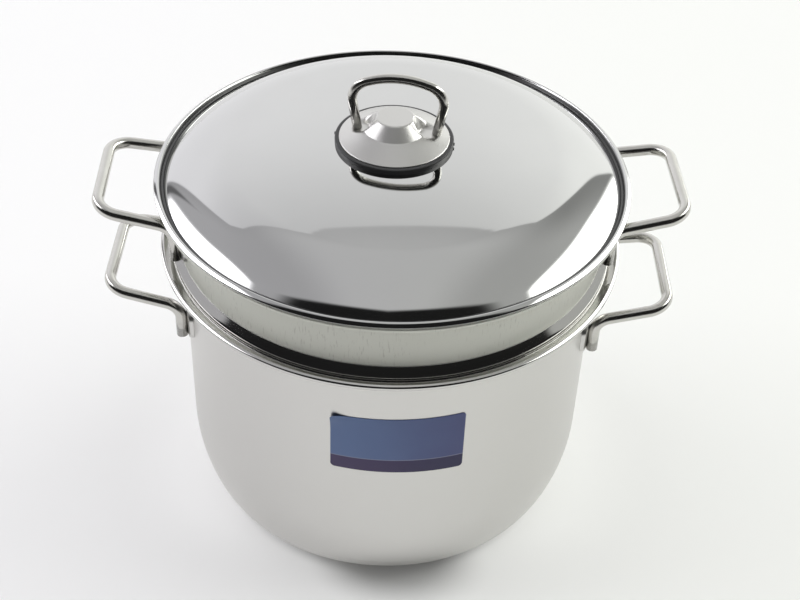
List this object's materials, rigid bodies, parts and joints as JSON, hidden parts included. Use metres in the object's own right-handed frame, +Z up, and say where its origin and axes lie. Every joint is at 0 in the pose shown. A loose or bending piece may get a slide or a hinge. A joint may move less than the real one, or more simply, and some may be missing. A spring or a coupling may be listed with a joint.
{
  "type": "pasta pot",
  "caption": "Stainless steel pasta pot with a lift-out strainer basket standing in its flared lip, wire side handles, and a polished domed lid with an upright wire knob.",
  "frame": {"origin": "centre of the base's underside, on the stove", "axes": "+Z up along the pot's axis, the side handles along +X and -X, the front of the pot towards -Y"},
  "size_m": [0.3158, 0.2526, 0.2716],
  "materials": {
    "satin_steel": "satin",
    "brushed_steel": "brushed",
    "mirror_steel": "mirror polished",
    "polished_wire": "polished",
    "plain_steel": "plain",
    "aluminium_core": "plain",
    "black_moulding": "satin black"
  },
  "bodies": {
    "pot": {"pot_body": "satin_steel", "base_core": "aluminium_core", "base_cap": "satin_steel", "pot_strap_left": "satin_steel", "pot_strap_right": "satin_steel", "pot_handle_left": "polished_wire", "pot_handle_right": "polished_wire"},
    "basket": {"basket_shell": "brushed_steel", "basket_strap_left": "satin_steel", "basket_strap_right": "satin_steel", "basket_handle_left": "polished_wire", "basket_handle_right": "polished_wire"},
    "lid": {"lid_shell": "mirror_steel", "knob_ring": "black_moulding", "knob_cap": "brushed_steel", "knob_bracket": "plain_steel", "knob_nut": "plain_steel", "knob_loop": "polished_wire", "knob_washer": "plain_steel", "knob_screw": "plain_steel"}
  },
  "joints": [
    {"name": "basket_lift", "type": "slide", "parent": "pot", "child": "basket", "axis": [0, 0, 1], "range_m": [0, 0.2]},
    {"name": "lid_lift", "type": "slide", "parent": "basket", "child": "lid", "axis": [0, 0, 1], "range_m": [0, 0.1]}
  ]
}
